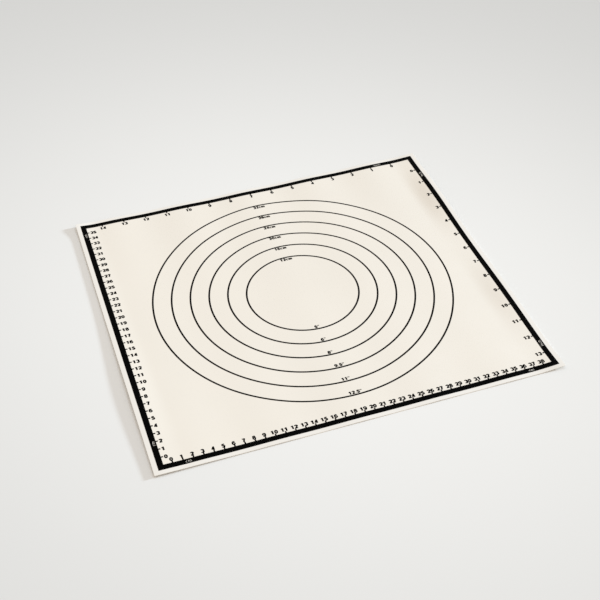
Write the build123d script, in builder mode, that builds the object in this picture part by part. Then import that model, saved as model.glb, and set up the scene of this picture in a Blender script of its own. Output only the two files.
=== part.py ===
from build123d import *
import os

# Silicone baking mat: a glass cloth sealed between two coats of silicone, with a black border,
# four rulers and six measuring circles printed flush into the upper coat.
# Lengths are in millimetres. The origin is the centre of the underside. The front centimetre
# ruler runs along +X, +Y points to the back edge and +Z up, out of the work surface.

# Sheet outline
sheet_width = 419.0
sheet_depth = 388.4
sheet_corner_radius = 1.0

# Layers, from the underside up
bottom_coat_thickness = 0.2
cloth_thickness = 0.3
top_coat_thickness = 0.2

# Print, laid into the upper coat
ink_thickness = 0.05
side_margin = 4.9
end_margin = 4.5
band_width = 5.9
guide_line_width = 1.9
smallest_guide_diameter = 120.0
guide_diameter_step = 40.0
tick_width = 1.5
tick_length = 2.0
centimetre_pitch = 10.0
inch_pitch = 25.4

# How far the middle of each ruler lies from the middle of its side
left_ruler_offset = 0.5
back_ruler_offset = -2.2
right_ruler_offset = -4.3

# Worked out from the sizes above
band_outer_width = sheet_width - 2 * side_margin
band_outer_depth = sheet_depth - 2 * end_margin
band_inner_width = band_outer_width - 2 * band_width
band_inner_depth = band_outer_depth - 2 * band_width

# The cloth stops under the middle of the band, so the rim outside it is silicone alone
cloth_width = (band_outer_width + band_inner_width) / 2
cloth_depth = (band_outer_depth + band_inner_depth) / 2

cloth_floor = bottom_coat_thickness
top_coat_floor = cloth_floor + cloth_thickness
work_surface = top_coat_floor + top_coat_thickness
print_floor = work_surface - ink_thickness

# Each ruler has as many marks as fit along its side
front_tick_count = int(band_inner_width // centimetre_pitch)
left_tick_count = int(band_inner_depth // centimetre_pitch)
back_tick_count = int(band_inner_width // inch_pitch)
right_tick_count = int(band_inner_depth // inch_pitch)

guide_names = [
    "guide_circle_12cm",
    "guide_circle_16cm",
    "guide_circle_20cm",
    "guide_circle_24cm",
    "guide_circle_28cm",
    "guide_circle_32cm",
]

# Only as many circles as stay clear of the ruler marks
guide_room = band_inner_depth - 2 * tick_length - guide_line_width - smallest_guide_diameter
guide_count = min(len(guide_names), int(guide_room // guide_diameter_step) + 1)


# Underside coat: a shallow tray, whose raised rim seals the cut edge of the cloth
with BuildPart() as bottom_silicone_coat:
    with BuildSketch():
        RectangleRounded(sheet_width, sheet_depth, sheet_corner_radius)
    extrude(amount=top_coat_floor)
    with BuildSketch(Plane.XY.offset(cloth_floor)):
        Rectangle(cloth_width, cloth_depth)
    extrude(amount=cloth_thickness, mode=Mode.SUBTRACT)
bottom_silicone_coat.part.label = "bottom_silicone_coat"

# Woven glass cloth, which fills the tray and stops the sheet from stretching
with BuildPart() as glass_cloth_core:
    with BuildSketch(Plane.XY.offset(cloth_floor)):
        Rectangle(cloth_width, cloth_depth)
    extrude(amount=cloth_thickness)
glass_cloth_core.part.label = "glass_cloth_core"

# Black frame round the work surface
with BuildPart() as border_band:
    with BuildSketch(Plane.XY.offset(print_floor)):
        Rectangle(band_outer_width, band_outer_depth)
        Rectangle(band_inner_width, band_inner_depth, mode=Mode.SUBTRACT)
    extrude(amount=ink_thickness)
border_band.part.label = "border_band"

# Measuring circles for rolled dough, all about the middle of the sheet
guide_circles = []
for index in range(guide_count):
    guide_radius = (smallest_guide_diameter + index * guide_diameter_step) / 2
    with BuildPart() as guide_circle:
        with BuildSketch(Plane.XY.offset(print_floor)):
            Circle(guide_radius + guide_line_width / 2)
            Circle(guide_radius - guide_line_width / 2, mode=Mode.SUBTRACT)
        extrude(amount=ink_thickness)
    guide_circle.part.label = guide_names[index]
    guide_circles.append(guide_circle.part)

# Centimetre marks, from the band's inner edge inwards
with BuildPart() as front_centimetre_ticks:
    with BuildSketch(Plane.XY.offset(print_floor)):
        with Locations((0, -band_inner_depth / 2)):
            with GridLocations(centimetre_pitch, 0, front_tick_count, 1):
                Rectangle(tick_width, tick_length, align=(Align.CENTER, Align.MIN))
    extrude(amount=ink_thickness)
front_centimetre_ticks.part.label = "front_centimetre_ticks"

with BuildPart() as left_centimetre_ticks:
    with BuildSketch(Plane.XY.offset(print_floor)):
        with Locations((-band_inner_width / 2, left_ruler_offset)):
            with GridLocations(0, centimetre_pitch, 1, left_tick_count):
                Rectangle(tick_length, tick_width, align=(Align.MIN, Align.CENTER))
    extrude(amount=ink_thickness)
left_centimetre_ticks.part.label = "left_centimetre_ticks"

# Inch marks
with BuildPart() as back_inch_ticks:
    with BuildSketch(Plane.XY.offset(print_floor)):
        with Locations((back_ruler_offset, band_inner_depth / 2)):
            with GridLocations(inch_pitch, 0, back_tick_count, 1):
                Rectangle(tick_width, tick_length, align=(Align.CENTER, Align.MAX))
    extrude(amount=ink_thickness)
back_inch_ticks.part.label = "back_inch_ticks"

with BuildPart() as right_inch_ticks:
    with BuildSketch(Plane.XY.offset(print_floor)):
        with Locations((band_inner_width / 2, right_ruler_offset)):
            with GridLocations(0, inch_pitch, 1, right_tick_count):
                Rectangle(tick_length, tick_width, align=(Align.MAX, Align.CENTER))
    extrude(amount=ink_thickness)
right_inch_ticks.part.label = "right_inch_ticks"

printed_pieces = [
    border_band.part,
    *guide_circles,
    front_centimetre_ticks.part,
    left_centimetre_ticks.part,
    back_inch_ticks.part,
    right_inch_ticks.part,
]

# Upper coat, cast round the print so that the work surface is smooth
with BuildPart() as top_silicone_coat:
    with BuildSketch(Plane.XY.offset(top_coat_floor)):
        RectangleRounded(sheet_width, sheet_depth, sheet_corner_radius)
    extrude(amount=top_coat_thickness)
    add(printed_pieces, mode=Mode.SUBTRACT)
top_silicone_coat.part.label = "top_silicone_coat"

os.makedirs("parts", exist_ok=True)
layers = [bottom_silicone_coat.part, glass_cloth_core.part, top_silicone_coat.part]
for piece in layers + printed_pieces:
    export_step(piece, f"parts/{piece.label}.step")
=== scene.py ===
"""Silicone baking mat: a thin cream sheet on a glass cloth core, printed with a black border, four
rulers and six measuring circles, lying on a pale table with its edges slightly curled.
"""

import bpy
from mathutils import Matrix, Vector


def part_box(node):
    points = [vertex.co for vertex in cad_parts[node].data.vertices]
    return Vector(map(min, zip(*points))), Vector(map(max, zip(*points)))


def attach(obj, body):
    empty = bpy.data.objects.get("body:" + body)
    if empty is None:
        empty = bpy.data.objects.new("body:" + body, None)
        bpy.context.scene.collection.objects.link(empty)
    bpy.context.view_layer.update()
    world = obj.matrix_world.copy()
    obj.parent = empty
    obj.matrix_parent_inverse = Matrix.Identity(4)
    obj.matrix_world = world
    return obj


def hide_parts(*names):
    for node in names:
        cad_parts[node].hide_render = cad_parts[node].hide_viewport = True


bl_info = {
    "name": "Silicone Baking Mat",
    "version": (1, 0, 0),
    "blender": (4, 5, 0),
    "location": "3D View > Sidebar > Baking Mat",
    "description": "Builds a printed silicone baking mat and the table that it lies on",
    "category": "Add Mesh",
}

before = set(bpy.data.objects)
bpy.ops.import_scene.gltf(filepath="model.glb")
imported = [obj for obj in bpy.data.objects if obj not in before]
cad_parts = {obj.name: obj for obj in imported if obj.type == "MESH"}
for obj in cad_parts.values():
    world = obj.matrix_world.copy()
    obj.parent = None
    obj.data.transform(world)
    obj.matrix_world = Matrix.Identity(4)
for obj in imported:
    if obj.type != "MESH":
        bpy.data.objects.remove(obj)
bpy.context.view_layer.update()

import math

import bpy
import numpy as np
from bpy.props import FloatProperty, FloatVectorProperty, PointerProperty
from mathutils import Matrix, Vector
from mathutils.geometry import delaunay_2d_cdt

CIRCLE_NODES = sorted(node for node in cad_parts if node.startswith("guide_circle_"))

# The sizes of the circles in inches, from the smallest to the largest, as they are printed
CIRCLE_INCHES = ("5", "6", "8", "9.5", "11", "12.5")

# Each ruler's CAD node, with the axis along which it runs and the setting that holds its pitch
RULERS = {
    "front_centimetre_ticks": (0, "centimetre"),
    "left_centimetre_ticks": (1, "centimetre"),
    "back_inch_ticks": (0, "inch"),
    "right_inch_ticks": (1, "inch"),
}

# Each unit word in the border, its side, and its place along that side from the middle, in metres
UNIT_WORDS = (
    ("cm", "front", -0.1755),
    ("cm", "front", 0.1752),
    ("cm", "left", -0.1568),
    ("cm", "left", 0.1707),
    ("inch", "back", 0.1598),
    ("inch", "right", 0.1498),
    ("inch", "right", -0.156),
)

# Steps of the meshes
CORNER_STEPS = 3
BAND_STEPS_ACROSS = 2
BAND_STEPS_ALONG = 120
CIRCLE_STEPS = 240


def span(node):
    """The length of a CAD node's box along each axis, in metres."""
    low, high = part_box(node)
    return high - low


def length(name, description, default):
    """A size that a user may change, in metres."""
    return FloatProperty(
        name=name,
        description=description,
        default=default,
        precision=5,
        subtype="DISTANCE",
        unit="LENGTH",
    )


def share(name, description, default):
    """A number between nothing and the whole."""
    return FloatProperty(
        name=name, description=description, default=default, min=0.0, max=1.0, subtype="FACTOR"
    )


def factor(name, description, default, **kind):
    """A plain number."""
    return FloatProperty(name=name, description=description, default=default, **kind)


def angle(name, description, degrees):
    """An angle, given here in degrees."""
    return FloatProperty(
        name=name, description=description, default=math.radians(degrees), subtype="ANGLE"
    )


def vector(name, description, default, **kind):
    """Three numbers along the axes: a place or a direction."""
    return FloatVectorProperty(name=name, description=description, default=default, **kind)


def colour(name, description, default):
    """A linear colour."""
    return vector(name, description, default, min=0.0, max=1.0, subtype="COLOR")


# Sizes and colours to change


class MatSheetSettings(bpy.types.PropertyGroup):
    """The sheet and how it lies."""

    width: length("Width", "Length of the front and back edges", span("bottom_silicone_coat").x)
    depth: length("Depth", "Length of the left and right edges", span("bottom_silicone_coat").y)
    thickness: length("Thickness", "Both coats and the cloth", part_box("top_silicone_coat")[1].z)
    corner_radius: length("Corner radius", "Rounding of the four cut corners", 0.001)
    rim_round: length("Rim rounding", "Softening of the cut rim", 0.00012)
    mesh_pitch: length("Mesh pitch", "Spacing of the mesh lines across the sheet", 0.003)
    wave_spacing: length("Wave spacing", "From one crest to the next, left to right", 0.079)
    wave_crest: length("Wave crest", "Place of the crest nearest the middle", -0.008)
    wave_height: length("Wave height", "Height of the waves along the middle", 0.00016)
    wave_front: length("Front wave height", "What they gain towards the front edge", 0.00016)
    wave_back: length("Back wave height", "What they gain towards the back edge", 0.00047)
    left_rise: length("Left rise", "How high the left edge stands all along", 0.0012)
    left_rise_more: length("Left rise, front half", "What the left edge gains there", 0.0012)
    left_swell: share("Left swell", "Share of the left rise that is a broad swell", 0.5)
    left_swell_reach: length("Left swell reach", "How far in the swell dies away", 0.09)
    left_reach_front: length("Left reach, front", "Width of the curl at the front", 0.034)
    left_reach_back: length("Left reach, back", "Width of the curl at the back", 0.026)
    right_curl_back: length("Right curl, back half", "Height of its back rise", 0.0028)
    right_curl_front: length("Right curl, front half", "Height of its front rise", 0.0016)
    right_reach: length("Right reach", "Width of the curled strip at the right", 0.034)
    back_right_rise: length("Back right rise", "Height of the broad corner rise", 0.0009)
    back_right_reach: length("Back right reach", "How far that rise reaches", 0.125)
    back_right_tip: length("Back right tip", "What the corner's tip adds", 0.0008)
    back_right_tip_reach: length("Back right tip reach", "How far the tip reaches", 0.022)
    front_right_tip: length("Front right tip", "How high that corner stands", 0.0018)
    front_right_tip_reach: length("Front right tip reach", "How far it reaches", 0.019)
    back_left_tip: length("Back left tip", "What the tip adds to the left curl", 0.0012)
    back_left_tip_reach: length("Back left tip reach", "How far it reaches", 0.014)
    left_pull: length("Left pull", "How far the back left corner is pulled in", 0.0012)


class MatPrintSettings(bpy.types.PropertyGroup):
    """The black print."""

    proud: length("Proud", "How far the print stands above the sheet", 0.00003)
    sunk: length("Sunk", "How far the print reaches into the sheet", 0.00005)
    band_width: length("Band width", "Width of the black border", 0.0059)
    line_width: length("Line width", "Width of the measuring circles' lines", 0.0019)
    tick_width: length("Tick width", "Width of a ruler mark", 0.0015)
    centimetre: length("Centimetre", "Spacing of the front and left marks", 0.01)
    inch: length("Inch", "Spacing of the back and right marks", 0.0254)
    numeral_height: length("Numeral height", "Height of the ruler numerals", 0.0044)
    numeral_gap: length("Numeral gap", "From the band to the middle of the numerals", 0.0042)
    back_gap: length("Back gap", "The same at the back edge", 0.0047)
    side_gap: length("Side gap", "From the band to the near side of the numerals", 0.003)
    numeral_drop: length("Numeral drop", "How far below its mark a left numeral is", 0.0004)
    numeral_aside: length("Numeral aside", "How far left of its mark a front one is", 0.0003)
    label_height: length("Label height", "Height of the circles' labels", 0.0039)
    label_drop: length("Label drop", "From a circle's line down to its back label", 0.0033)
    label_rise: length("Label rise", "From a circle's line up to its front label", 0.0036)
    label_aside: length("Label aside", "How far left of the middle it begins", 0.0066)
    unit_height: length("Unit height", "Height of the tall letters in the border", 0.0032)
    numeral_pen: share("Numeral pen", "Width of its stroke as a share of the height", 0.315)
    label_pen: share("Label pen", "Width of its stroke as a share of the height", 0.31)
    unit_pen: share("Unit pen", "Width of its stroke as a share of the height", 0.07)
    figure_gap: share("Figure gap", "Between two figures as a share of the height", 0.08)
    numeral_stretch: factor("Numeral stretch", "Widens the numerals", 1.18)
    label_stretch: factor("Label stretch", "Widens the labels", 1.25)
    unit_stretch: factor("Unit stretch", "Widens the unit words", 1.35)


class MatFinishSettings(bpy.types.PropertyGroup):
    """Colours and surfaces."""

    field: colour("Field", "Silicone over the cloth", (0.853, 0.797, 0.705))
    margin: colour("Margin", "Bare silicone rim outside the border", (0.845, 0.806, 0.742))
    ink: colour("Ink", "Black silicone ink", (0.0022, 0.0021, 0.002))
    thread_pitch: length("Thread pitch", "Spacing of the glass threads", 0.001)
    rim_fade: length("Rim fade", "How gently the field turns into the margin", 0.001)
    cloud_tone: share("Cloud tone", "How much slow clouds change the tone", 0.05)
    thread_tone: share("Thread tone", "How much the weave changes the tone", 0.03)
    speck_tone: share("Speck tone", "How much fine specks change the tone", 0.02)
    silicone_roughness: share("Silicone roughness", "Of the work surface", 0.42)
    silicone_polish: share("Silicone polish", "How much smoother use has made it", 0.05)
    silicone_relief: length("Silicone relief", "Height of the weave in it", 0.00004)
    ink_roughness: share("Ink roughness", "Of the print", 0.5)
    ink_polish: share("Ink polish", "How much smoother use has made it", 0.08)
    ink_relief: length("Ink relief", "Height of the weave in it", 0.00003)
    ink_shine: share("Ink shine", "Strength of its reflections", 0.01)


class MatStageSettings(bpy.types.PropertyGroup):
    """Table, light and camera."""

    table: colour("Table", "Colour of the table top round the mat", (0.881, 0.873, 0.846))
    # A painted pool of light on the table top: its colour is palest at the middle and darker away
    # from the mat, standing in for light that falls off.
    table_far: share("Table far", "Share of that colour that is left far from the mat", 0.7)
    table_fade: length("Table fade", "How far out two thirds of the rest are lost", 0.498)
    table_fade_across: length("Table fade across", "The same, square to its turn", 0.586)
    table_fade_turn: angle("Table fade turn", "From the right towards the back", 37.5)
    table_middle: vector(
        "Table middle", "Where it is palest", (0.026, -0.021, 0.0), subtype="TRANSLATION"
    )
    table_size: length("Table size", "Side of the square table top", 60.0)
    table_roughness: share("Table roughness", "Of the table top", 0.9)
    sky: colour("Sky", "Even light from all sides", (0.795, 0.738, 0.683))
    backdrop: colour("Backdrop", "What the camera sees past the table", (0.641, 0.638, 0.62))
    key_strength: factor("Key", "Strength of the low side light, in W/m2", 4.1)
    key_colour: colour("Key colour", "Of the side light", (0.72, 0.86, 1.0))
    key_height: angle("Key height", "Of the side light over the table", 11.0)
    key_turn: angle("Key turn", "From the right towards the back", 3.0)
    key_spread: angle("Key spread", "How wide the side light looks", 4.5)
    window_strength: factor("Window", "Strength of the broad light, in W/m2", 0.55)
    window_colour: colour("Window colour", "Of the broad light", (0.56, 0.78, 1.0))
    window_height: angle("Window height", "Of the broad light over the table", 42.0)
    window_turn: angle("Window turn", "From the right towards the back", 48.0)
    window_spread: angle("Window spread", "How wide the broad light looks", 24.0)
    lens: factor("Lens", "Focal length on a 36 mm sensor", 69.6, unit="CAMERA")
    eye: vector("Eye", "Place of the camera", (-0.2939, -0.8788, 0.8259), subtype="TRANSLATION")
    eye_right: vector("Right", "The picture's rightward direction", (0.9458, -0.3244, -0.0122))
    eye_up: vector("Up", "The picture's upward direction", (0.2261, 0.6312, 0.7419))


# The sheet's shape

# The phase of a curl at the very edge, in half turns: over one, the rim droops.
CURL_DROOP = 1.1

# Where the left and right edges rise most, as shares of half the depth from the middle to the back
LEFT_MOST = {"middle": -0.44, "reach": 0.44}
RIGHT_BACK_MOST = {"middle": 0.57, "reach": 0.28}
RIGHT_FRONT_MOST = {"middle": -0.37, "reach": 0.29}
# The pull on the back left corner begins at such a share of half the depth in front of the middle.
PULL_START = 0.3


def bell(place, reach, middle=0.0):
    """One at the middle, falling off smoothly on both sides: e to the minus square of the distance
    from the middle over the reach.
    """
    return np.exp(-np.square((place - middle) / reach))


def curl(inward, height, reach):
    """How far a curled edge strip rises and is drawn in, with inward the distance from the edge.

    It rises as half of one minus the cosine of the phase, which grows evenly from nothing at the
    reach to a little over half a turn at the edge, so that the very rim droops. The strip keeps its
    length, so it is drawn in by half the mean of the slope squared, times the way covered so far.
    """
    way = np.clip(1.0 - inward / reach, 0.0, None)
    phase = np.pi * CURL_DROOP * way
    drawn = (np.pi * CURL_DROOP * height / 2) ** 2 / reach / 4
    covered = way - np.sin(2 * phase) / (2 * np.pi * CURL_DROOP)
    return height * (1 - np.cos(phase)) / 2, drawn * covered


def settle(x, y):
    """Where the flat sheet's places x and y come to lie: their x, and the underside's height.

    Low waves run from front to back: half of one plus the cosine of the phase, times a height that
    grows as the square of the way to the front or back edge. Each side's strip adds its curl, and
    the corners a bell of their own, so that the sheet rests on the table along the waves' troughs.
    The pull grows as the fourth power of the way to the left edge, and evenly towards the back.
    """
    s = bpy.context.scene.mat_sheet
    half_x, half_y = s.width / 2, s.depth / 2
    way = y / half_y
    phase = 2 * np.pi * (x - s.wave_crest) / s.wave_spacing
    height = s.wave_height + np.where(way < 0, s.wave_front, s.wave_back) * np.square(way)
    waves = height * (1 + np.cos(phase)) / 2

    left_height = s.left_rise + s.left_rise_more * bell(way, **LEFT_MOST)
    left_reach = s.left_reach_front + (s.left_reach_back - s.left_reach_front) * (way + 1) / 2
    left, left_draw = curl(half_x + x, left_height * (1 - s.left_swell), left_reach)
    left = left + left_height * s.left_swell * bell(half_x + x, s.left_swell_reach)

    right_height = s.right_curl_back * bell(way, **RIGHT_BACK_MOST)
    right_height = right_height + s.right_curl_front * bell(way, **RIGHT_FRONT_MOST)
    right, right_draw = curl(half_x - x, right_height, s.right_reach)

    to_back_right = np.hypot(half_x - x, half_y - y)
    to_front_right = np.hypot(half_x - x, half_y + y)
    to_back_left = np.hypot(half_x + x, half_y - y)
    corners = (
        s.back_right_rise * bell(to_back_right, s.back_right_reach)
        + s.back_right_tip * bell(to_back_right, s.back_right_tip_reach)
        + s.front_right_tip * bell(to_front_right, s.front_right_tip_reach)
        + s.back_left_tip * bell(to_back_left, s.back_left_tip_reach)
    )

    backward = np.clip((way + PULL_START) / (1 + PULL_START), 0, None)
    pull = s.left_pull * np.clip(-x / half_x, 0, None) ** 4 * backward
    return x + left_draw + pull - right_draw, waves + left + right + corners


# Mesh helpers

# Edges that bend by more than this many degrees look sharp.
SHARP_FROM = 30.0


def link_piece(name, mesh, material, replaced=()):
    """Makes an object of the mesh, which holds its place in itself, and hands it to the frame."""
    mesh.materials.append(material)
    mesh.update()
    piece = bpy.data.objects.new(name, mesh)
    bpy.context.scene.collection.objects.link(piece)
    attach(piece, "root")
    if replaced:
        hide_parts(*replaced)
    return piece


def add_piece(name, points, faces, material, replaced):
    """Makes a smooth piece of the points and faces, which takes the place of CAD nodes."""
    mesh = bpy.data.meshes.new(name)
    mesh.from_pydata(points.tolist(), [], faces.tolist())
    mesh.polygons.foreach_set("use_smooth", np.ones(len(mesh.polygons), bool))
    mesh.set_sharp_from_angle(angle=math.radians(SHARP_FROM))
    return link_piece(name, mesh, material, replaced)


def grid_faces(rows):
    """Each cell's four corners in index grids shaped (patch, across, along), anticlockwise."""
    corners = (rows[:, :-1, :-1], rows[:, 1:, :-1], rows[:, 1:, 1:], rows[:, :-1, 1:])
    return np.stack(corners, -1).reshape(-1, 4)


def wall_faces(upper, lower):
    """Faces between two index rows shaped (patch, along), which look to the right of the way."""
    corners = (upper[:, 1:], upper[:, :-1], lower[:, :-1], lower[:, 1:])
    return np.stack(corners, -1).reshape(-1, 4)


def slab(x, y, top, bottom, ring=False):
    """A closed thin slab over plan grids x and y, shaped (patch, across, along).

    Its upper side is the settled height plus top, its lower side that plus bottom, and walls close
    the rim between them. The second axis runs to the right of the third. A ring joins its last row
    to its first.
    """
    x, base = settle(x, y)
    upper = np.stack((x, y, base + top), -1).reshape(-1, 3)
    lower = np.stack((x, y, base + bottom), -1).reshape(-1, 3)
    above = np.arange(x.size).reshape(x.shape)
    if ring:
        above = np.concatenate((above, above[:, :, :1]), 2)
    below = above + x.size
    faces = [
        grid_faces(above),
        grid_faces(below)[:, ::-1],
        wall_faces(above[:, 0, ::-1], below[:, 0, ::-1]),
        wall_faces(above[:, -1, :], below[:, -1, :]),
    ]
    if not ring:
        faces += [
            wall_faces(above[:, :, 0], below[:, :, 0]),
            wall_faces(above[:, ::-1, -1], below[:, ::-1, -1]),
        ]
    return np.concatenate((upper, lower)), np.concatenate(faces)


def print_slab(x, y, ring=False):
    """A slab of ink that follows the sheet, a hair proud of it and sunk into it."""
    sheet, ink = bpy.context.scene.mat_sheet, bpy.context.scene.mat_print
    return slab(x, y, sheet.thickness + ink.proud, sheet.thickness - ink.sunk, ring)


# Numerals and letters

# Places inside a figure are shares of its height, measured from its lower left corner.
FIGURE_WIDTH = 0.62

# On the inner side of a bend the pen goes no farther than this share of the bend's radius.
INNER_SHARE = 0.8
# At a kink the pen's corner goes no farther out than half its width over this cosine.
KINK_COSINE = 0.5
# A bend with a smaller sine than this counts as this one.
LEAST_BEND = 1e-6
# Corners closer than this are joined, and triangles below this area are dropped.
JOIN_WITHIN = 1e-4
SLIVER_AREA = 1e-7

# How a line of figures stands at its place, and its turn in degrees
STARTS, CENTRED, ENDS = 0.0, 0.5, 1.0
LEVEL, UPWARDS = 0, 90


def bow(centre_x, centre_y, radius_x, radius_y, start, end, count=11):
    """Points of an elliptic arc from the start angle to the end angle, in degrees."""
    turn = np.radians(np.linspace(start, end, count))
    return np.stack((centre_x + radius_x * np.cos(turn), centre_y + radius_y * np.sin(turn)), -1)


def loop(centre_x, centre_y, radius_x, radius_y, count=16):
    """Points of a whole ellipse, which ends where it began."""
    return bow(centre_x, centre_y, radius_x, radius_y, 0, 360, count + 1)


def straight(*places):
    """Points of a bent line through the places."""
    return np.array(places, float)


def stem(x, bottom, top):
    """The two ends of an upright stroke."""
    return straight((x, bottom), (x, top))


def then(*lines):
    """One line after another."""
    return np.concatenate(lines)


def turned(strokes):
    """The strokes turned half round about the figure's middle."""
    return [(np.array((FIGURE_WIDTH, 1.0)) - points, pen) for points, pen in strokes]


def arch(left, right, middle=0.45, rise=0.19):
    """The line of a letter's arch, from its left foot over the top and down its right leg."""
    centre, half = (left + right) / 2, (right - left) / 2
    return then(bow(centre, middle, half, rise, 170, 0), straight((right, 0.0)))


def figure_strokes():
    """Each figure's strokes as (centre line, pen width over the usual one), and its width."""
    six = [
        (loop(0.31, 0.31, 0.22, 0.245), 0.85),
        (then(bow(0.325, 0.52, 0.235, 0.385, 40, 180), straight((0.09, 0.3))), 0.9),
    ]
    numerals = {
        "0": [(loop(0.31, 0.5, 0.205, 0.4, 20), 0.9)],
        "1": [
            (stem(0.33, 0.0, 1.0), 1.0),
            (straight((0.05, 0.75), (0.18, 0.79), (0.3, 0.92)), 0.8),
        ],
        "2": [
            (then(bow(0.31, 0.69, 0.205, 0.21, 172, -28), straight((0.36, 0.4), (0.14, 0.1))), 1.0),
            (straight((0.04, 0.09), (0.57, 0.09)), 0.9),
        ],
        "3": [
            (bow(0.3, 0.715, 0.19, 0.19, 162, -80), 1.0),
            (bow(0.3, 0.305, 0.21, 0.21, 85, -165), 1.0),
        ],
        "4": [
            (stem(0.43, 0.0, 1.0), 1.0),
            (straight((0.02, 0.27), (0.6, 0.27)), 0.85),
            (straight((0.08, 0.27), (0.42, 0.95)), 0.8),
        ],
        "5": [
            (straight((0.12, 0.91), (0.55, 0.91)), 0.9),
            (straight((0.16, 0.95), (0.12, 0.48)), 0.85),
            (bow(0.3, 0.33, 0.21, 0.235, 140, -162), 1.0),
        ],
        "6": six,
        "7": [
            (straight((0.04, 0.91), (0.58, 0.91)), 0.9),
            (straight((0.5, 0.9), (0.34, 0.5), (0.25, 0.0)), 1.0),
        ],
        "8": [
            (loop(0.31, 0.74, 0.185, 0.19), 0.85),
            (loop(0.31, 0.29, 0.215, 0.225), 0.9),
        ],
        "9": turned(six),
    }
    letters_and_signs = {
        "c": ([(bow(0.29, 0.365, 0.19, 0.275, 48, 312, 13), 0.8)], 0.5),
        "m": (
            [
                (stem(0.12, 0.0, 0.73), 0.9),
                (arch(0.12, 0.42), 0.85),
                (arch(0.42, 0.72), 0.85),
            ],
            0.82,
        ),
        "i": ([(stem(0.12, 0.0, 0.73), 0.95), (stem(0.12, 0.84, 1.0), 0.95)], 0.22),
        "n": ([(stem(0.12, 0.0, 0.73), 0.95), (arch(0.12, 0.46), 0.95)], 0.56),
        "h": ([(stem(0.12, 0.0, 1.0), 0.95), (arch(0.12, 0.46), 0.95)], 0.56),
        '"': ([(stem(0.08, 0.66, 1.0), 0.5), (stem(0.32, 0.66, 1.0), 0.5)], 0.4),
        ".": ([(stem(0.14, 0.0, 0.19), 0.65)], 0.28),
    }
    wide = {figure: (strokes, FIGURE_WIDTH) for figure, strokes in numerals.items()}
    return wide | letters_and_signs


def pen_quads(points, width):
    """A pen of this width carried along the points: each point goes half a width to the left and
    right, square to the mean of the directions before and after it, and four such points make each
    cell. On the inner side of a bend it stays within the bend's radius, so that bowls stay open.
    """
    run = np.diff(points, axis=0)
    size = np.linalg.norm(run, axis=1, keepdims=True)
    run /= size
    closed = np.allclose(points[0], points[-1])
    before = np.concatenate((run[-1:] if closed else run[:1], run))
    after = np.concatenate((run, run[:1] if closed else run[-1:]))
    mean = before + after
    mean /= np.linalg.norm(mean, axis=1, keepdims=True)
    reach = width / 2 / np.maximum((mean * before).sum(1, keepdims=True), KINK_COSINE)
    turn = before[:, :1] * after[:, 1:] - before[:, 1:] * after[:, :1]
    step = (np.concatenate((size[:1], size)) + np.concatenate((size, size[-1:]))) / 2
    radius = step / np.maximum(np.abs(turn), LEAST_BEND)
    inner = np.minimum(reach, INNER_SHARE * radius)
    side = np.stack((-mean[:, 1], mean[:, 0]), -1)
    left = points + side * np.where(turn > 0, inner, reach)
    right = points - side * np.where(turn < 0, inner, reach)
    return np.stack((right[:-1], right[1:], left[1:], left[:-1]), 1)


def figure_shapes(pen, stretch):
    """Each figure as flat points, triangles and width: its strokes, drawn with the pen, widened by
    the stretch and joined into one outline.
    """
    shapes = {}
    for figure, (strokes, width) in figure_strokes().items():
        quads = np.concatenate([pen_quads(line, pen * weight) for line, weight in strokes])
        quads = quads * np.array((stretch, 1.0))
        corners = [Vector(corner) for corner in quads.reshape(-1, 2)]
        cells = np.arange(len(corners)).reshape(-1, 4).tolist()
        found = delaunay_2d_cdt(corners, [], cells, 1, JOIN_WITHIN, True)
        points, _, faces, _, _, origins = found
        points = np.array([tuple(point) for point in points])
        faces = np.array([face for face, origin in zip(faces, origins) if origin])
        a, b, c = (points[faces[:, k]] for k in range(3))
        area = (b - a)[:, 0] * (c - a)[:, 1] - (b - a)[:, 1] * (c - a)[:, 0]
        faces = faces[np.abs(area) > SLIVER_AREA]
        area = area[np.abs(area) > SLIVER_AREA]
        faces[area < 0] = faces[area < 0][:, ::-1]
        used, faces = np.unique(faces, return_inverse=True)
        shapes[figure] = points[used], faces.reshape(-1, 3), width * stretch
    return shapes


def set_lines(lines, shapes, extra):
    """Points and faces of printed lines of figures, each (text, x, y, height, align, turn).

    A line stands with its middle height on y, and with its left side, middle or right side on x as
    align is 0, a half or 1. Each figure is scaled, turned by so many degrees, moved to its place
    and laid on the sheet, with the same outline below it and a wall along each edge that only one
    triangle uses. Extra is how much prouder than ink it stands.
    """
    sheet, ink = bpy.context.scene.mat_sheet, bpy.context.scene.mat_print
    points, faces, count = [], [], 0
    for text, x, y, height, align, turn in lines:
        widths = [shapes[figure][2] + ink.figure_gap for figure in text]
        pen_x = -align * (sum(widths) - ink.figure_gap)
        cos, sin = math.cos(math.radians(turn)), math.sin(math.radians(turn))
        for figure in text:
            flat, triangles, width = shapes[figure]
            u, v = (flat[:, 0] + pen_x) * height, (flat[:, 1] - 0.5) * height
            pen_x += width + ink.figure_gap
            plan_x, plan_y = x + u * cos - v * sin, y + u * sin + v * cos
            plan_x, base = settle(plan_x, plan_y)
            base = base + sheet.thickness
            points.append(np.stack((plan_x, plan_y, base + ink.proud + extra), -1))
            points.append(np.stack((plan_x, plan_y, base - ink.sunk), -1))
            edges = np.concatenate([triangles[:, pair] for pair in ([0, 1], [1, 2], [2, 0])])
            alike = np.sort(edges, 1)
            _, first, uses = np.unique(alike, axis=0, return_index=True, return_counts=True)
            rim = edges[first[uses == 1]]
            walls = np.concatenate((rim[:, ::-1], rim + len(flat)), 1)
            faces += (triangles + count).tolist()
            faces += (triangles[:, ::-1] + len(flat) + count).tolist()
            faces += (walls + count).tolist()
            count += 2 * len(flat)
    return np.concatenate(points), faces


def add_lines(name, lines, shapes, material, extra=0.0):
    """Makes one piece of printed lines of figures."""
    points, faces = set_lines(lines, shapes, extra)
    mesh = bpy.data.meshes.new(name)
    mesh.from_pydata(points.tolist(), [], faces)
    return link_piece(name, mesh, material)


# Materials

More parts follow.
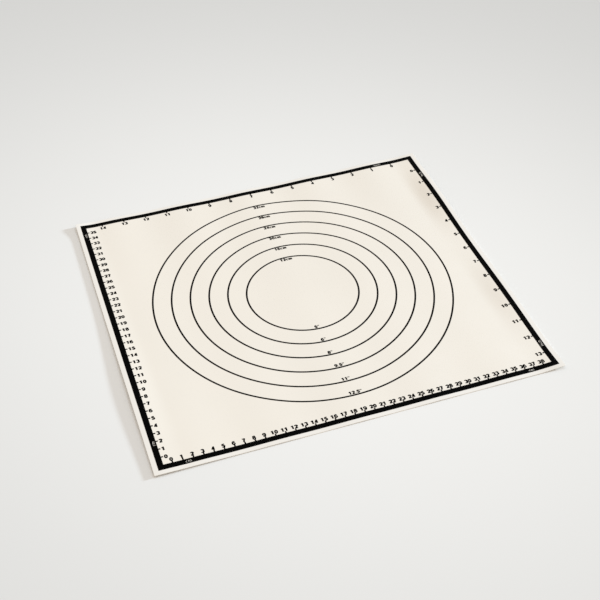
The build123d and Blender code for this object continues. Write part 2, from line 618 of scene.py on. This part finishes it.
# Scale per metre, detail and roughness of the noises
CLOUDS = 9.0, 3.0, 0.55
SPECKS = 1400.0, 2.0, 0.6
SMUDGES = 38.0, 4.0, 0.6
# Smudges begin where their noise passes this value, and are whole a third above it.
SMUDGE_FROM = 0.45
SMUDGE_GAIN = 3.0

# At a crossing a thread's back keeps this share of its height, more or less by the swing.
CROSSING_MEAN = 0.6
CROSSING_SWING = 0.4
# The middle value of the weave's thread share
THREAD_MIDDLE = 0.25

SILICONE_BUMP = 0.35
INK_BUMP = 0.3
SILICONE_IOR = 1.41


class Wiring:
    """Adds nodes to a tree and joins them in the order that they are asked for."""

    def __init__(self, tree):
        self.tree = tree

    def node(self, kind, **settings):
        made = self.tree.nodes.new(kind)
        for key, value in settings.items():
            setattr(made, key, value)
        return made

    def feed(self, socket, value):
        if isinstance(value, bpy.types.NodeSocket):
            self.tree.links.new(value, socket)
        else:
            socket.default_value = value

    def math(self, operation, *values, clamp=False):
        made = self.node("ShaderNodeMath", operation=operation, use_clamp=clamp)
        for socket, value in zip(made.inputs, values):
            self.feed(socket, value)
        return made.outputs[0]

    def scale(self, tint, value):
        """The colour times the value."""
        made = self.node("ShaderNodeVectorMath", operation="SCALE")
        self.feed(made.inputs[0], tint)
        self.feed(made.inputs["Scale"], value)
        return made.outputs[0]

    def mix(self, share_of_second, first, second):
        made = self.node("ShaderNodeMix", data_type="RGBA")
        self.feed(made.inputs[0], share_of_second)
        self.feed(made.inputs[6], first)
        self.feed(made.inputs[7], second)
        return made.outputs[2]

    def noise(self, vector, scale, detail, roughness):
        made = self.node("ShaderNodeTexNoise")
        self.feed(made.inputs["Vector"], vector)
        made.inputs["Scale"].default_value = scale
        made.inputs["Detail"].default_value = detail
        made.inputs["Roughness"].default_value = roughness
        return made.outputs["Fac"]

    def bump(self, height, strength, distance):
        made = self.node("ShaderNodeBump")
        made.inputs["Strength"].default_value = strength
        made.inputs["Distance"].default_value = distance
        self.feed(made.inputs["Height"], height)
        return made.outputs[0]

    def group(self, name, make, vector):
        """The placed node group of this name, made at its first use."""
        tree = bpy.data.node_groups.get(name) or make(name)
        made = self.node("ShaderNodeGroup", node_tree=tree)
        self.feed(made.inputs["Vector"], vector)
        return made


def new_group(name, inputs, outputs):
    """A shader node group with its inputs (name, kind, any default) and outputs (name, kind)."""
    tree = bpy.data.node_groups.new(name, "ShaderNodeTree")
    for label, kind, *default in inputs:
        socket = tree.interface.new_socket(name=label, in_out="INPUT", socket_type=kind)
        if default:
            socket.default_value = default[0]
    for label, kind in outputs:
        tree.interface.new_socket(name=label, in_out="OUTPUT", socket_type=kind)
    return tree, tree.nodes.new("NodeGroupInput"), tree.nodes.new("NodeGroupOutput")


def cloth_weave_group(name):
    """The plain weave of the glass cloth as it shows through a coat: along each axis a thread's
    back is a raised cosine of the pitch, and at each crossing the product of two half-rate cosines
    says which thread lies on top. Height is the larger of the two backs, and Thread the share that
    it brightens.
    """
    tree, source, sink = new_group(
        name,
        [("Vector", "NodeSocketVector"), ("Threads per Metre", "NodeSocketFloat", 1000.0)],
        [("Height", "NodeSocketFloat"), ("Thread", "NodeSocketFloat")],
    )
    w = Wiring(tree)
    split = w.node("ShaderNodeSeparateXYZ")
    w.feed(split.inputs[0], source.outputs["Vector"])
    rate = w.math("MULTIPLY", source.outputs["Threads per Metre"], math.pi)
    halves = [w.math("COSINE", w.math("MULTIPLY", split.outputs[axis], rate)) for axis in (0, 1)]
    backs = [w.math("MULTIPLY", half, half) for half in halves]
    crossing = w.math("MULTIPLY", *halves)
    over = w.math("MULTIPLY_ADD", crossing, CROSSING_SWING, CROSSING_MEAN)
    under = w.math("MULTIPLY_ADD", crossing, -CROSSING_SWING, CROSSING_MEAN)
    first, second = w.math("MULTIPLY", backs[0], over), w.math("MULTIPLY", backs[1], under)
    height = w.math("MAXIMUM", first, second)
    w.feed(sink.inputs["Height"], height)
    w.feed(sink.inputs["Thread"], w.math("MULTIPLY", height, over))
    return tree


def surface_wear_group(name):
    """Slow clouds and fine specks of a handled silicone surface. Cloud and Speck are from zero to
    one, and Smudge marks the places that are polished by use.
    """
    tree, source, sink = new_group(
        name,
        [("Vector", "NodeSocketVector")],
        [(label, "NodeSocketFloat") for label in ("Cloud", "Speck", "Smudge")],
    )
    w = Wiring(tree)
    vector = source.outputs["Vector"]
    w.feed(sink.inputs["Cloud"], w.noise(vector, *CLOUDS))
    w.feed(sink.inputs["Speck"], w.noise(vector, *SPECKS))
    smudge = w.math("SUBTRACT", w.noise(vector, *SMUDGES), SMUDGE_FROM)
    w.feed(sink.inputs["Smudge"], w.math("MULTIPLY", smudge, SMUDGE_GAIN, clamp=True))
    return tree


def new_material(name):
    """A new material, its wiring, its Principled shader and its Object coordinates."""
    material = bpy.data.materials.new(name)
    material.use_nodes = True
    w = Wiring(material.node_tree)
    shader = material.node_tree.nodes["Principled BSDF"]
    place = w.node("ShaderNodeTexCoord").outputs["Object"]
    return material, w, shader, place


def weave_and_wear(w, place):
    """The outputs of the two groups that the silicone and the ink share."""
    weave = w.group("Cloth Weave", cloth_weave_group, place)
    pitch = bpy.context.scene.mat_finish.thread_pitch
    weave.inputs["Threads per Metre"].default_value = 1.0 / pitch
    wear = w.group("Silicone Surface", surface_wear_group, place)
    return weave.outputs, wear.outputs


def silicone_material():
    """Satin cream silicone: the field over the cloth is warmer than the bare rim outside the
    border, the weave shows faintly in tone and relief, and clouds, specks and smudges vary it.
    """
    found = bpy.data.materials.get("cream_silicone")
    if found:
        return found
    finish = bpy.context.scene.mat_finish
    material, w, shader, place = new_material("cream_silicone")
    weave, wear = weave_and_wear(w, place)
    split = w.node("ShaderNodeSeparateXYZ")
    w.feed(split.inputs[0], place)
    core = span("glass_cloth_core")
    outside = []
    for axis, size in ((0, core.x), (1, core.y)):
        distance = w.math("SUBTRACT", w.math("ABSOLUTE", split.outputs[axis]), size / 2)
        outside.append(w.math("MULTIPLY_ADD", distance, 1.0 / finish.rim_fade, 0.5, clamp=True))
    rim = w.math("MAXIMUM", *outside)
    inside = w.math("SUBTRACT", 1.0, rim)
    base = w.mix(rim, (*finish.field, 1.0), (*finish.margin, 1.0))
    cloud_tone = finish.cloud_tone
    tone = w.math("MULTIPLY_ADD", wear["Cloud"], cloud_tone, 1.0 - cloud_tone / 2)
    thread = w.math("MULTIPLY", w.math("SUBTRACT", weave["Thread"], THREAD_MIDDLE), inside)
    tone = w.math("ADD", tone, w.math("MULTIPLY", thread, finish.thread_tone))
    speck = w.math("SUBTRACT", wear["Speck"], 0.5)
    tone = w.math("ADD", tone, w.math("MULTIPLY", speck, finish.speck_tone))
    rough = (wear["Smudge"], -finish.silicone_polish, finish.silicone_roughness)
    relief = w.math("MULTIPLY", weave["Height"], inside)
    w.feed(shader.inputs["Base Color"], w.scale(base, tone))
    w.feed(shader.inputs["Roughness"], w.math("MULTIPLY_ADD", *rough))
    w.feed(shader.inputs["Normal"], w.bump(relief, SILICONE_BUMP, finish.silicone_relief))
    shader.inputs["IOR"].default_value = SILICONE_IOR
    return material


def ink_material():
    """Matt black silicone ink: it follows the weave, and wear changes its tone and gloss."""
    found = bpy.data.materials.get("black_ink")
    if found:
        return found
    finish = bpy.context.scene.mat_finish
    material, w, shader, place = new_material("black_ink")
    weave, wear = weave_and_wear(w, place)
    tone = w.math("ADD", wear["Cloud"], w.math("MULTIPLY", wear["Speck"], 0.5))
    rough = (wear["Smudge"], -finish.ink_polish, finish.ink_roughness)
    w.feed(shader.inputs["Base Color"], w.scale(finish.ink, tone))
    w.feed(shader.inputs["Roughness"], w.math("MULTIPLY_ADD", *rough))
    w.feed(shader.inputs["Normal"], w.bump(weave["Height"], INK_BUMP, finish.ink_relief))
    shader.inputs["Specular IOR Level"].default_value = finish.ink_shine
    return material


def table_material():
    """Plain pale table top with a painted pool of light round the mat, its colour darkening slowly
    away
    from the middle: its share of colour is the far one plus the rest times e to the minus square of
    the distance over the fade, which is longer across its direction.
    """
    stage = bpy.context.scene.mat_stage
    material, w, shader, place = new_material("pale_table_painted_pool")
    fade = w.node("ShaderNodeMapping", vector_type="TEXTURE")
    w.feed(fade.inputs["Vector"], place)
    fade.inputs["Location"].default_value = stage.table_middle
    fade.inputs["Rotation"].default_value = 0.0, 0.0, stage.table_fade_turn
    fade.inputs["Scale"].default_value = stage.table_fade, stage.table_fade_across, 1.0
    away = w.node("ShaderNodeVectorMath", operation="LENGTH")
    w.feed(away.inputs[0], fade.outputs[0])
    fades = away.outputs["Value"]
    fall = w.math("EXPONENT", w.math("MULTIPLY", w.math("MULTIPLY", fades, fades), -1.0))
    # Painted pool of light: the table's colour is scaled by this share, full at the middle and
    # falling to the far share away from it.
    painted_light_share = w.math("MULTIPLY_ADD", fall, 1.0 - stage.table_far, stage.table_far)
    w.feed(shader.inputs["Base Color"], w.scale(stage.table, painted_light_share))
    shader.inputs["Roughness"].default_value = stage.table_roughness
    shader.inputs["Specular IOR Level"].default_value = 0.0
    return material


# Operators

# The cut rim's edges, which bend by more than this many degrees, are rounded in so many steps.
RIM_FROM = 60.0
RIM_STEPS = 2
# How far from the mat the lamps' objects stand, which doesn't change their light, in metres
LAMP_DISTANCE = 2.0
# The camera's sensor in millimetres, and the nearest and farthest that it sees in metres
SENSOR_WIDTH = 36.0
NEAREST, FARTHEST = 0.01, 100.0


def add_sun(name, strength, tint, turn, height, spread, glossy):
    """A sun lamp that shines on the mat from a side turned from +X towards +Y and from this height.
    The spread is how wide it looks from the mat. Unless glossy, the mat shows no reflection of it.
    """
    lamp = bpy.data.lights.new(name, "SUN")
    lamp.energy, lamp.color, lamp.angle = strength, tint, spread
    flat = math.cos(height)
    away = Vector((flat * math.cos(turn), flat * math.sin(turn), math.sin(height)))
    placed = bpy.data.objects.new(name, lamp)
    placed.location = away * LAMP_DISTANCE
    placed.rotation_euler = away.to_track_quat("Z", "Y").to_euler()
    placed.visible_glossy = glossy
    bpy.context.scene.collection.objects.link(placed)


class BAKINGMAT_OT_sheet(bpy.types.Operator):
    """Adds the curved silicone sheet in place of the flat coats and cloth"""

    bl_idname = "baking_mat.sheet"
    bl_label = "Silicone Sheet"

    def execute(self, context):
        s = context.scene.mat_sheet
        radius = s.corner_radius
        axes = []
        for size in (s.width, s.depth):
            half = size / 2
            count = max(2, round((size - 2 * radius) / s.mesh_pitch))
            corner = np.linspace(half - radius, half, CORNER_STEPS + 1)[1:]
            middle = np.linspace(radius - half, half - radius, count + 1)
            axes.append(np.concatenate((-corner[::-1], middle, corner)))
        x, y = np.meshgrid(*axes, indexing="ij")
        # Each corner square is drawn in to a quarter disc: a share p across it becomes p times the
        # root of one less half the square of the share along it, and the other way round.
        p = np.clip((np.abs(x) - s.width / 2 + radius) / radius, 0, 1)
        q = np.clip((np.abs(y) - s.depth / 2 + radius) / radius, 0, 1)
        x = np.sign(x) * (np.abs(x) - radius * p * (1 - np.sqrt(1 - q * q / 2)))
        y = np.sign(y) * (np.abs(y) - radius * q * (1 - np.sqrt(1 - p * p / 2)))
        points, faces = slab(x[None], y[None], s.thickness, 0.0)
        replaced = ("bottom_silicone_coat", "glass_cloth_core", "top_silicone_coat")
        silicone = silicone_material()
        piece = add_piece("silicone_sheet", points, faces, silicone, replaced)
        rim = piece.modifiers.new("rim", "BEVEL")
        rim.width, rim.segments = s.rim_round, RIM_STEPS
        rim.limit_method, rim.angle_limit = "ANGLE", math.radians(RIM_FROM)
        return {"FINISHED"}


class BAKINGMAT_OT_border_band(bpy.types.Operator):
    """Adds the black border: a flat strip carried round the rectangle with mitred corners"""

    bl_idname = "baking_mat.border_band"
    bl_label = "Border Band"

    def execute(self, context):
        ink = context.scene.mat_print
        size = span("border_band")
        inward = np.linspace(0, ink.band_width, BAND_STEPS_ACROSS + 1)[:, None]
        along = np.linspace(-1, 1, BAND_STEPS_ALONG + 1)[:-1]
        half_x, half_y = size.x / 2 - inward, size.y / 2 - inward
        one = np.ones_like(along)
        x = np.concatenate((half_x * along, half_x * one, -half_x * along, -half_x * one), 1)
        y = np.concatenate((-half_y * one, half_y * along, half_y * one, -half_y * along), 1)
        points, faces = print_slab(x[None, ::-1], y[None, ::-1], ring=True)
        replaced = ("border_band",)
        add_piece("printed_border_band", points, faces, ink_material(), replaced)
        return {"FINISHED"}


class BAKINGMAT_OT_guide_circles(bpy.types.Operator):
    """Adds the measuring circles: rings about the sheet's middle"""

    bl_idname = "baking_mat.guide_circles"
    bl_label = "Measuring Circles"

    def execute(self, context):
        ink = context.scene.mat_print
        turn = np.linspace(0, 2 * np.pi, CIRCLE_STEPS + 1)[:-1]
        for node in CIRCLE_NODES:
            outer = span(node).x / 2
            radius = np.array((outer - ink.line_width, outer))[:, None]
            x, y = radius * np.cos(turn), radius * np.sin(turn)
            points, faces = print_slab(x[None], y[None], ring=True)
            name = node.replace("guide_circle", "printed_circle")
            add_piece(name, points, faces, ink_material(), (node,))
        return {"FINISHED"}


def tick_places(node):
    """Middles of a ruler's marks along its axis: one each pitch from end to end of the CAD node."""
    ink = bpy.context.scene.mat_print
    axis, unit = RULERS[node]
    low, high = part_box(node)
    first, last = low[axis] + ink.tick_width / 2, high[axis] - ink.tick_width / 2
    return np.linspace(first, last, round((last - first) / getattr(ink, unit)) + 1)


class BAKINGMAT_OT_ruler_ticks(bpy.types.Operator):
    """Adds the marks of the four rulers: one small slab each, square to its side"""

    bl_idname = "baking_mat.ruler_ticks"
    bl_label = "Ruler Marks"

    def execute(self, context):
        ink = context.scene.mat_print
        for node, (axis, _) in RULERS.items():
            low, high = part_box(node)
            middle = tick_places(node)[:, None, None]
            side = np.array((-0.5, 0.5)) * ink.tick_width
            ends = np.array((low[1 - axis], high[1 - axis]))
            if axis == 0:
                x, y = middle + side[None, :, None], ends[None, None, :]
            else:
                x, y = ends[None, :, None], middle + side[None, None, :]
            points, faces = print_slab(*np.broadcast_arrays(x, y))
            add_piece("printed_" + node, points, faces, ink_material(), (node,))
        return {"FINISHED"}


class BAKINGMAT_OT_ruler_numerals(bpy.types.Operator):
    """Adds the numerals beside the marks of the four rulers, upright as seen from the front"""

    bl_idname = "baking_mat.ruler_numerals"
    bl_label = "Ruler Numerals"

    def execute(self, context):
        ink = context.scene.mat_print
        size = span("border_band")
        inner_x, inner_y = size.x / 2 - ink.band_width, size.y / 2 - ink.band_width
        front_y, back_y = ink.numeral_gap - inner_y, inner_y - ink.back_gap
        left_x, right_x = ink.side_gap - inner_x, inner_x - ink.side_gap
        rulers = {
            "front_centimetre_numerals": [
                (x - ink.numeral_aside, front_y, CENTRED)
                for x in tick_places("front_centimetre_ticks")
            ],
            "left_centimetre_numerals": [
                (left_x, y - ink.numeral_drop, STARTS)
                for y in tick_places("left_centimetre_ticks")
            ],
            "back_inch_numerals": [
                (x, back_y, CENTRED) for x in tick_places("back_inch_ticks")[::-1]
            ],
            "right_inch_numerals": [
                (right_x, y, ENDS) for y in tick_places("right_inch_ticks")[::-1]
            ],
        }
        shapes = figure_shapes(ink.numeral_pen, ink.numeral_stretch)
        for name, places in rulers.items():
            lines = [
                (str(number), x, y, ink.numeral_height, align, LEVEL)
                for number, (x, y, align) in enumerate(places)
            ]
            add_lines(name, lines, shapes, ink_material())
        return {"FINISHED"}


class BAKINGMAT_OT_circle_labels(bpy.types.Operator):
    """Adds the sizes of the circles: centimetres inside the back of each, inches at the front"""

    bl_idname = "baking_mat.circle_labels"
    bl_label = "Circle Labels"

    def execute(self, context):
        ink = context.scene.mat_print
        height = ink.label_height
        metric, imperial = [], []
        for node, inches in zip(CIRCLE_NODES, CIRCLE_INCHES):
            radius = span(node).x / 2 - ink.line_width / 2
            back_y, front_y = radius - ink.label_drop, ink.label_rise - radius
            metric.append((node.rsplit("_", 1)[1], 0.0, back_y, height, CENTRED, LEVEL))
            imperial.append((inches + '"', -ink.label_aside, front_y, height, STARTS, LEVEL))
        shapes = figure_shapes(ink.label_pen, ink.label_stretch)
        add_lines("circle_centimetre_labels", metric, shapes, ink_material())
        add_lines("circle_inch_labels", imperial, shapes, ink_material())
        return {"FINISHED"}


class BAKINGMAT_OT_unit_words(bpy.types.Operator):
    """Adds the units in the border, where the silicone is left bare"""

    bl_idname = "baking_mat.unit_words"
    bl_label = "Unit Words"

    def execute(self, context):
        ink = context.scene.mat_print
        size = span("border_band")
        x, y = size.x / 2 - ink.band_width / 2, size.y / 2 - ink.band_width / 2
        lines = []
        for text, side, along in UNIT_WORDS:
            sign = 1 if side in ("back", "right") else -1
            if side in ("front", "back"):
                place, turn = (along, sign * y), LEVEL
            else:
                place, turn = (sign * x, along), UPWARDS
            lines.append((text, *place, ink.unit_height, CENTRED, turn))
        shapes = figure_shapes(ink.unit_pen, ink.unit_stretch)
        silicone = silicone_material()
        add_lines("border_unit_words", lines, shapes, silicone, extra=ink.proud)
        return {"FINISHED"}


class BAKINGMAT_OT_stage(bpy.types.Operator):
    """Adds the table, the lights and the camera"""

    bl_idname = "baking_mat.stage"
    bl_label = "Table, Light and Camera"

    def execute(self, context):
        scene = context.scene
        stage = scene.mat_stage
        half = stage.table_size / 2
        mesh = bpy.data.meshes.new("table_top")
        corners = [(-half, -half, 0.0), (half, -half, 0.0), (half, half, 0.0), (-half, half, 0.0)]
        mesh.from_pydata(corners, [], [(0, 1, 2, 3)])
        mesh.materials.append(table_material())
        table = bpy.data.objects.new("table_top", mesh)
        scene.collection.objects.link(table)

        world = bpy.data.worlds.new("studio")
        world.use_nodes = True
        w = Wiring(world.node_tree)
        background = world.node_tree.nodes["Background"]
        seen = w.node("ShaderNodeLightPath").outputs["Is Camera Ray"]
        tint = w.mix(seen, (*stage.sky, 1.0), (*stage.backdrop, 1.0))
        w.feed(background.inputs["Color"], tint)
        background.inputs["Strength"].default_value = 1.0
        scene.world = world

        key = stage.key_strength, stage.key_colour, stage.key_turn, stage.key_height
        add_sun("side_light", *key, stage.key_spread, glossy=False)
        window = stage.window_strength, stage.window_colour, stage.window_turn, stage.window_height
        add_sun("window_light", *window, stage.window_spread, glossy=True)

        optics = bpy.data.cameras.new("camera")
        optics.lens, optics.sensor_width = stage.lens, SENSOR_WIDTH
        optics.clip_start, optics.clip_end = NEAREST, FARTHEST
        camera = bpy.data.objects.new("camera", optics)
        right, up = Vector(stage.eye_right).normalized(), Vector(stage.eye_up)
        up = (up - right * up.dot(right)).normalized()
        turn = Matrix((right, up, right.cross(up))).transposed()
        camera.matrix_world = Matrix.Translation(stage.eye) @ turn.to_4x4()
        scene.collection.objects.link(camera)
        scene.camera = camera
        scene.view_settings.view_transform = "Standard"
        return {"FINISHED"}


class BAKINGMAT_PT_panel(bpy.types.Panel):
    """Baking mat settings"""

    bl_label = "Baking Mat"
    bl_idname = "BAKINGMAT_PT_panel"
    bl_space_type = "VIEW_3D"
    bl_region_type = "UI"
    bl_category = "Baking Mat"

    def draw(self, context):
        layout = self.layout
        for group, _, title in SETTINGS:
            box = layout.box()
            box.label(text=title)
            values = getattr(context.scene, group)
            for name in values.bl_rna.properties.keys():
                if name not in ("rna_type", "name"):
                    box.prop(values, name)
        for operator in OPERATORS:
            layout.operator(operator.bl_idname)


SETTINGS = (
    ("mat_sheet", MatSheetSettings, "Sheet"),
    ("mat_print", MatPrintSettings, "Print"),
    ("mat_finish", MatFinishSettings, "Finish"),
    ("mat_stage", MatStageSettings, "Stage"),
)
OPERATORS = (
    BAKINGMAT_OT_sheet,
    BAKINGMAT_OT_border_band,
    BAKINGMAT_OT_guide_circles,
    BAKINGMAT_OT_ruler_ticks,
    BAKINGMAT_OT_ruler_numerals,
    BAKINGMAT_OT_circle_labels,
    BAKINGMAT_OT_unit_words,
    BAKINGMAT_OT_stage,
)


def register():
    for name, group, _ in SETTINGS:
        bpy.utils.register_class(group)
        setattr(bpy.types.Scene, name, PointerProperty(type=group))
    for cls in (*OPERATORS, BAKINGMAT_PT_panel):
        bpy.utils.register_class(cls)


def unregister():
    for cls in reversed((*OPERATORS, BAKINGMAT_PT_panel)):
        bpy.utils.unregister_class(cls)
    for name, group, _ in reversed(SETTINGS):
        delattr(bpy.types.Scene, name)
        bpy.utils.unregister_class(group)


def main():
    register()
    bpy.ops.baking_mat.sheet()
    bpy.ops.baking_mat.border_band()
    bpy.ops.baking_mat.guide_circles()
    bpy.ops.baking_mat.ruler_ticks()
    bpy.ops.baking_mat.ruler_numerals()
    bpy.ops.baking_mat.circle_labels()
    bpy.ops.baking_mat.unit_words()
    bpy.ops.baking_mat.stage()


if __name__ == "__main__":
    main()
